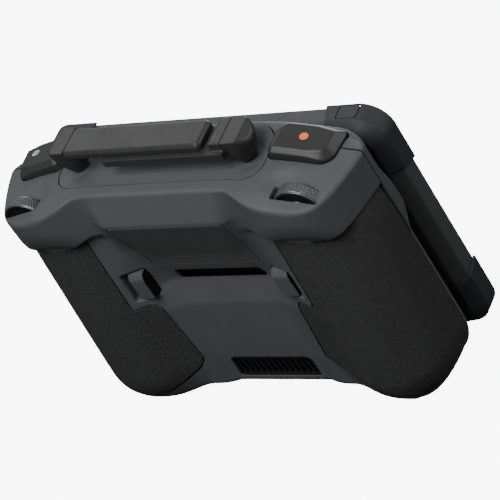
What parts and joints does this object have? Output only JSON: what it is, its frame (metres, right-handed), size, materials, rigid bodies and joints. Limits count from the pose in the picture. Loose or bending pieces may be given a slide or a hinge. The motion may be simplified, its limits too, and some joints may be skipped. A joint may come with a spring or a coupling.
{
  "type": "radio transmitter controller",
  "caption": "Handheld radio transmitter with folding, rotating display, folding bar antennas, thumb sticks, shoulder buttons, dials, rear buttons and soft hand grips.",
  "frame": {"origin": "centre of the bounding box on the plane that the two grip ends and the lower display bumpers stand on", "axes": "+X to the operator's right, +Y out of the back of the controller, +Z towards its antenna end"},
  "size_m": [0.19, 0.071, 0.1609],
  "materials": {
    "shell": "fine-grained moulded grey",
    "deck": "satin dark grey",
    "grip_skin": "leather-grained soft rubber",
    "bumper": "matte",
    "button": "satin",
    "antenna": "satin",
    "dark_plastic": "matte",
    "screen_glass": "polished black",
    "display": "gloss",
    "steel": "turned and knurled",
    "aluminium": "bead-blasted",
    "board": "solder mask",
    "battery": "wrapped cell pack"
  },
  "bodies": {
    "casing": {"rear_shell": "shell", "front_shell": "deck", "grip_cover_left": "grip_skin", "grip_cover_right": "grip_skin", "antenna_tray": "shell", "service_door": "shell", "exhaust_grille": "dark_plastic", "intake_mesh": "dark_plastic", "hinge_bracket": "aluminium", "fold_hinge_pin": "steel", "main_board": "board", "battery_pack": "battery", "heat_sink": "aluminium", "fan_housing": "dark_plastic", "usb_socket": "steel", "gimbal_housing_left": "dark_plastic", "gimbal_housing_right": "dark_plastic", "dial_axle_left": "steel", "dial_axle_right": "steel", "antenna_pivot_left": "steel", "antenna_pivot_right": "steel"},
    "fan": {"fan_rotor": "dark_plastic"},
    "fold_link": {"fold_arm": "aluminium", "tilt_hinge_pin": "steel"},
    "tilt_link": {"swivel_plate": "aluminium"},
    "display_unit": {"screen_housing": "deck", "screen_glass": "screen_glass", "display_panel": "display", "screen_board": "board", "bumper_top_left": "bumper", "bumper_top_right": "bumper", "bumper_bottom_left": "bumper", "bumper_bottom_right": "bumper"},
    "port_flap": {"port_cover": "bumper"},
    "record_key": {"record_button": "button"},
    "photo_key": {"photo_button": "button"},
    "power_key": {"power_button": "button"},
    "home_key": {"return_home_button": "button"},
    "five_way_key": {"five_way_button": "button"},
    "mode_knob": {"mode_slider": "button"},
    "antenna_left": {"antenna_hub_left": "antenna", "antenna_bar_left": "antenna"},
    "dial_wheel_left": {"dial_left": "steel"},
    "back_key_left": {"back_button_left": "shell"},
    "gimbal_left": {"gimbal_ring_left": "aluminium"},
    "thumb_stick_left": {"stick_dome_left": "dark_plastic", "stick_left": "aluminium"},
    "antenna_right": {"antenna_hub_right": "antenna", "antenna_bar_right": "antenna"},
    "dial_wheel_right": {"dial_right": "steel"},
    "back_key_right": {"back_button_right": "shell"},
    "gimbal_right": {"gimbal_ring_right": "aluminium"},
    "thumb_stick_right": {"stick_dome_right": "dark_plastic", "stick_right": "aluminium"}
  },
  "joints": [
    {"name": "fan_spin", "type": "hinge", "parent": "casing", "child": "fan", "pos_m": [0, 0.0033, 0.042], "axis": [0, 1, 0], "continuous": true},
    {"name": "screen_fold", "type": "hinge", "parent": "casing", "child": "fold_link", "pos_m": [0, -0.0161, 0.137], "axis": [-1, 0, 0], "range_deg": [0, 135]},
    {"name": "screen_tilt", "type": "hinge", "parent": "fold_link", "child": "tilt_link", "pos_m": [0, -0.0206, 0.06675], "axis": [-1, 0, 0], "range_deg": [-108, 0]},
    {"name": "screen_rotate", "type": "hinge", "parent": "tilt_link", "child": "display_unit", "pos_m": [0, -0.0245, 0.06675], "axis": [0, 1, 0], "range_deg": [0, 90]},
    {"name": "port_cover_hinge", "type": "hinge", "parent": "display_unit", "child": "port_flap", "pos_m": [-0.0751, -0.0293, 0.1335], "axis": [-1, 0, 0], "range_deg": [0, 100]},
    {"name": "antenna_left_turn", "type": "hinge", "parent": "casing", "child": "antenna_left", "pos_m": [-0.0446, 0.0035, 0.1466], "axis": [0, 0, 1], "range_deg": [0, 180]},
    {"name": "dial_left_turn", "type": "hinge", "parent": "casing", "child": "dial_wheel_left", "pos_m": [-0.073, 0.0218, 0.1319], "axis": [0, 1, 0], "range_deg": [-30, 30], "stiffness_Nm_per_rad": 0.03},
    {"name": "back_button_left_press", "type": "slide", "parent": "casing", "child": "back_key_left", "axis": [0, -1, 0], "range_m": [0, 0.001], "stiffness_N_per_m": 500},
    {"name": "stick_left_pitch", "type": "hinge", "parent": "casing", "child": "gimbal_left", "pos_m": [-0.066, -0.0015, 0.095], "axis": [1, 0, 0], "range_deg": [-25, 25], "stiffness_Nm_per_rad": 0.03},
    {"name": "stick_left_yaw", "type": "hinge", "parent": "gimbal_left", "child": "thumb_stick_left", "pos_m": [-0.066, -0.0015, 0.095], "axis": [0, 0, 1], "range_deg": [-25, 25], "stiffness_Nm_per_rad": 0.03},
    {"name": "antenna_right_turn", "type": "hinge", "parent": "casing", "child": "antenna_right", "pos_m": [0.0446, 0.0035, 0.1466], "axis": [0, 0, -1], "range_deg": [0, 180]},
    {"name": "dial_right_turn", "type": "hinge", "parent": "casing", "child": "dial_wheel_right", "pos_m": [0.073, 0.0218, 0.1319], "axis": [0, 1, 0], "range_deg": [-30, 30], "stiffness_Nm_per_rad": 0.03},
    {"name": "back_button_right_press", "type": "slide", "parent": "casing", "child": "back_key_right", "axis": [0, -1, 0], "range_m": [0, 0.001], "stiffness_N_per_m": 500},
    {"name": "stick_right_pitch", "type": "hinge", "parent": "casing", "child": "gimbal_right", "pos_m": [0.066, -0.0015, 0.095], "axis": [1, 0, 0], "range_deg": [-25, 25], "stiffness_Nm_per_rad": 0.03},
    {"name": "stick_right_yaw", "type": "hinge", "parent": "gimbal_right", "child": "thumb_stick_right", "pos_m": [0.066, -0.0015, 0.095], "axis": [0, 0, 1], "range_deg": [-25, 25], "stiffness_Nm_per_rad": 0.03},
    {"name": "record_button_press", "type": "slide", "parent": "casing", "child": "record_key", "axis": [0.2419, 0, -0.9703], "range_m": [0, 0.0012], "stiffness_N_per_m": 500},
    {"name": "photo_button_press", "type": "slide", "parent": "casing", "child": "photo_key", "axis": [-0.2419, 0, -0.9703], "range_m": [0, 0.0012], "stiffness_N_per_m": 500},
    {"name": "power_button_press", "type": "slide", "parent": "casing", "child": "power_key", "axis": [0, 1, 0], "range_m": [0, 0.0008], "stiffness_N_per_m": 500},
    {"name": "return_home_button_press", "type": "slide", "parent": "casing", "child": "home_key", "axis": [0, 1, 0], "range_m": [0, 0.0008], "stiffness_N_per_m": 500},
    {"name": "five_way_button_press", "type": "slide", "parent": "casing", "child": "five_way_key", "axis": [0, 1, 0], "range_m": [0, 0.0008], "stiffness_N_per_m": 500},
    {"name": "mode_slider_travel", "type": "slide", "parent": "casing", "child": "mode_knob", "axis": [1, 0, 0], "range_m": [-0.006, 0.006]}
  ],
  "couplings": [
    {"joint": "screen_tilt", "follows": "screen_fold", "ratio": -0.8}
  ]
}
